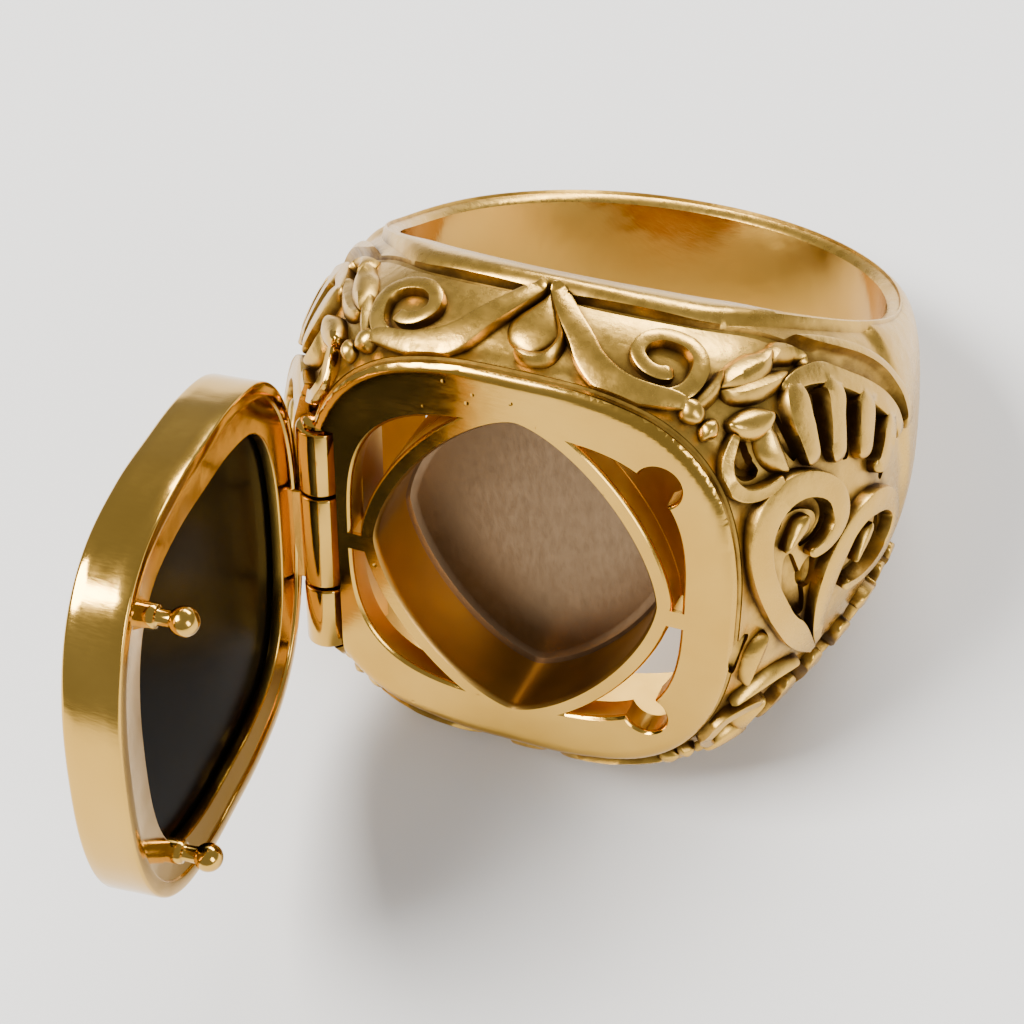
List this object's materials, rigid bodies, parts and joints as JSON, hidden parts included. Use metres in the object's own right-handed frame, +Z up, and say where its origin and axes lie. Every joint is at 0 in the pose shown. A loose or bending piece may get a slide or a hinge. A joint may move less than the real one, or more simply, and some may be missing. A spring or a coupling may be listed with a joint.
{
  "type": "poison ring",
  "caption": "Domed signet-style poison ring with cast scroll ornament, a compartment under a hinged lid set with a black stone, and ball-ended catch pins on the lid.",
  "frame": {"origin": "centre of the finger hole, on its axis, level with the middle of the head", "axes": "+Z up from the table the ring lies on, +X across the finger to the side away from the hinge, -Y from the finger hole towards the face; the finger hole's axis leans back by 20.7 degrees, as the ring lies"},
  "size_m": [0.0248, 0.0394, 0.0221],
  "materials": {
    "cast_gold": "cast yellow gold, polished on the high parts, darker in the recesses",
    "polished_gold": "polished yellow gold",
    "onyx": "polished black stone",
    "pin_gold": "drawn yellow gold"
  },
  "bodies": {
    "ring": {"ring_body": "cast_gold", "hinge_pin": "pin_gold"},
    "lid": {"lid_bezel": "polished_gold", "onyx_plaque": "onyx"}
  },
  "joints": [
    {"name": "lid_hinge", "type": "hinge", "parent": "ring", "child": "lid", "pos_m": [-0.0078, -0.01298, 0.00383], "axis": [0, 0.3533, 0.9355], "range_deg": [-8, 84]}
  ]
}
